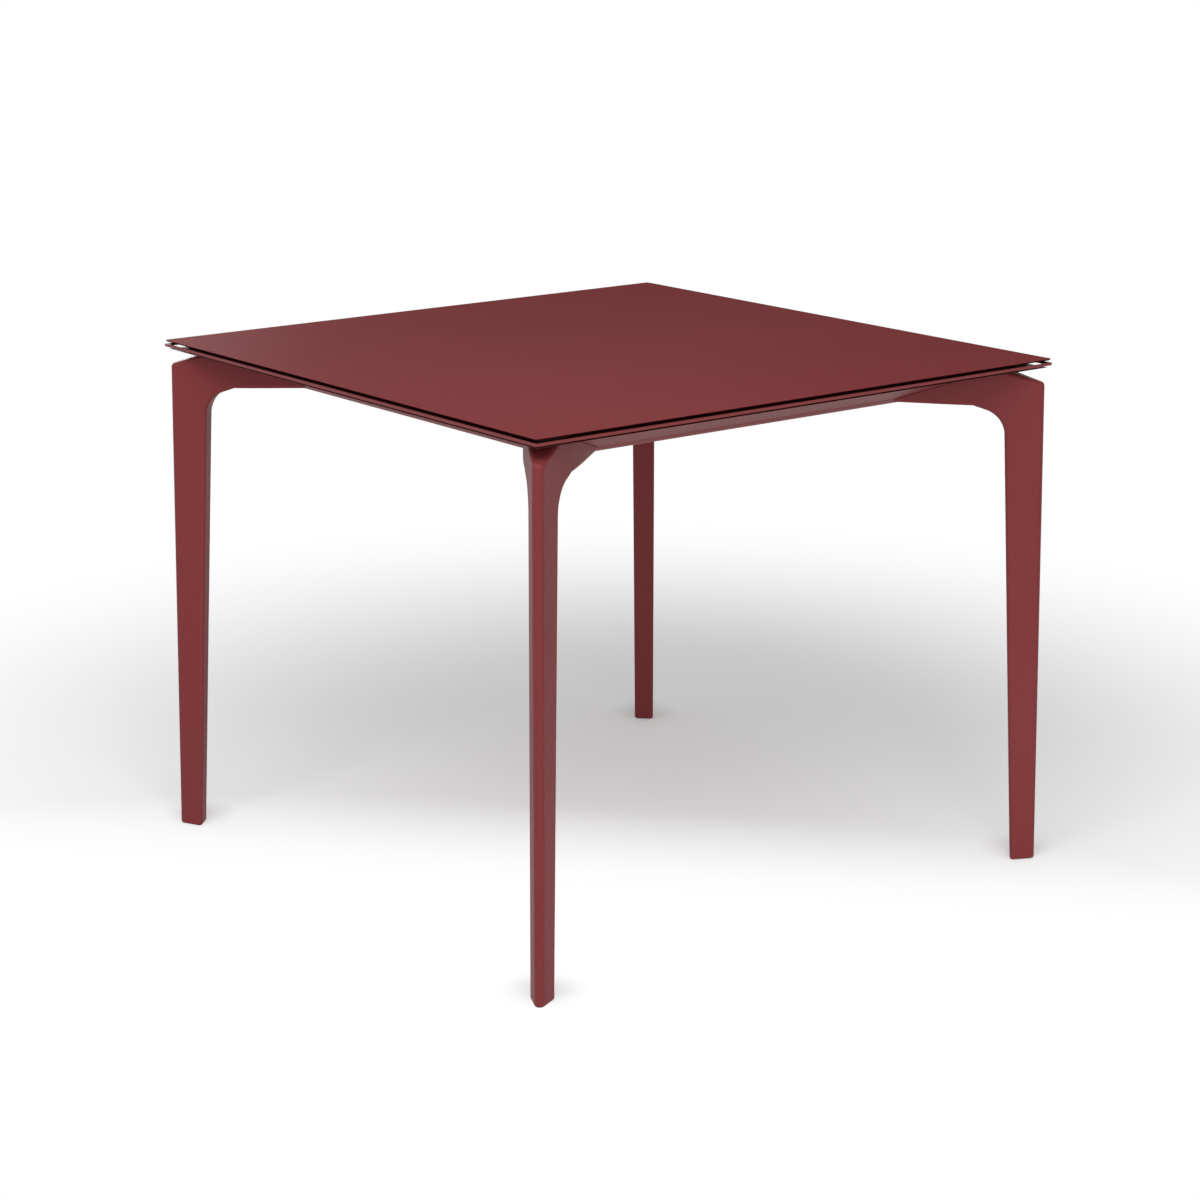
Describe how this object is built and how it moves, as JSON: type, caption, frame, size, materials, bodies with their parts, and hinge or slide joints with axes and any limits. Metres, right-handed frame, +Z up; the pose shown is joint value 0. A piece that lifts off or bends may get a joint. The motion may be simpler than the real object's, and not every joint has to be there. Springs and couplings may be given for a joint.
{
  "type": "square dining table",
  "caption": "Square metal dining table with a thin floating sheet top, mitred hollow rails with a free lip, and tapered cast corner legs whose arms nest under the rails.",
  "frame": {"origin": "on the floor under the middle of the top", "axes": "+Z up; X and Y along the sides of the top; front is the side at -Y"},
  "size_m": [0.9092, 0.9092, 0.74],
  "materials": {
    "sheet_paint": "satin powder coat",
    "rail_paint": "satin powder coat",
    "leg_paint": "satin powder coat",
    "bare_aluminium": "mill",
    "black_screw": "black oxide",
    "plated_steel": "zinc plated",
    "foam_tape": "matte",
    "gasket_rubber": "matte",
    "glide_plastic": "matte"
  },
  "bodies": {
    "root": {"top_panel": "sheet_paint", "rail_front": "rail_paint", "rail_right": "rail_paint", "rail_back": "rail_paint", "rail_left": "rail_paint", "leg_front_right": "leg_paint", "leg_back_right": "leg_paint", "leg_back_left": "leg_paint", "leg_front_left": "leg_paint", "corner_block_front_right": "bare_aluminium", "corner_block_back_right": "bare_aluminium", "corner_block_back_left": "bare_aluminium", "corner_block_front_left": "bare_aluminium", "leg_bolts_long": "black_screw", "leg_bolts_short": "black_screw", "edge_tape_front": "foam_tape", "edge_tape_right": "foam_tape", "edge_tape_back": "foam_tape", "edge_tape_left": "foam_tape", "ledge_gasket_front": "gasket_rubber", "ledge_gasket_right": "gasket_rubber", "ledge_gasket_back": "gasket_rubber", "ledge_gasket_left": "gasket_rubber", "panel_studs": "plated_steel", "panel_nuts": "plated_steel", "stiffener_left": "sheet_paint", "stiffener_right": "sheet_paint", "glide_front_right": "glide_plastic", "glide_back_right": "glide_plastic", "glide_back_left": "glide_plastic", "glide_front_left": "glide_plastic"}
  },
  "joints": []
}
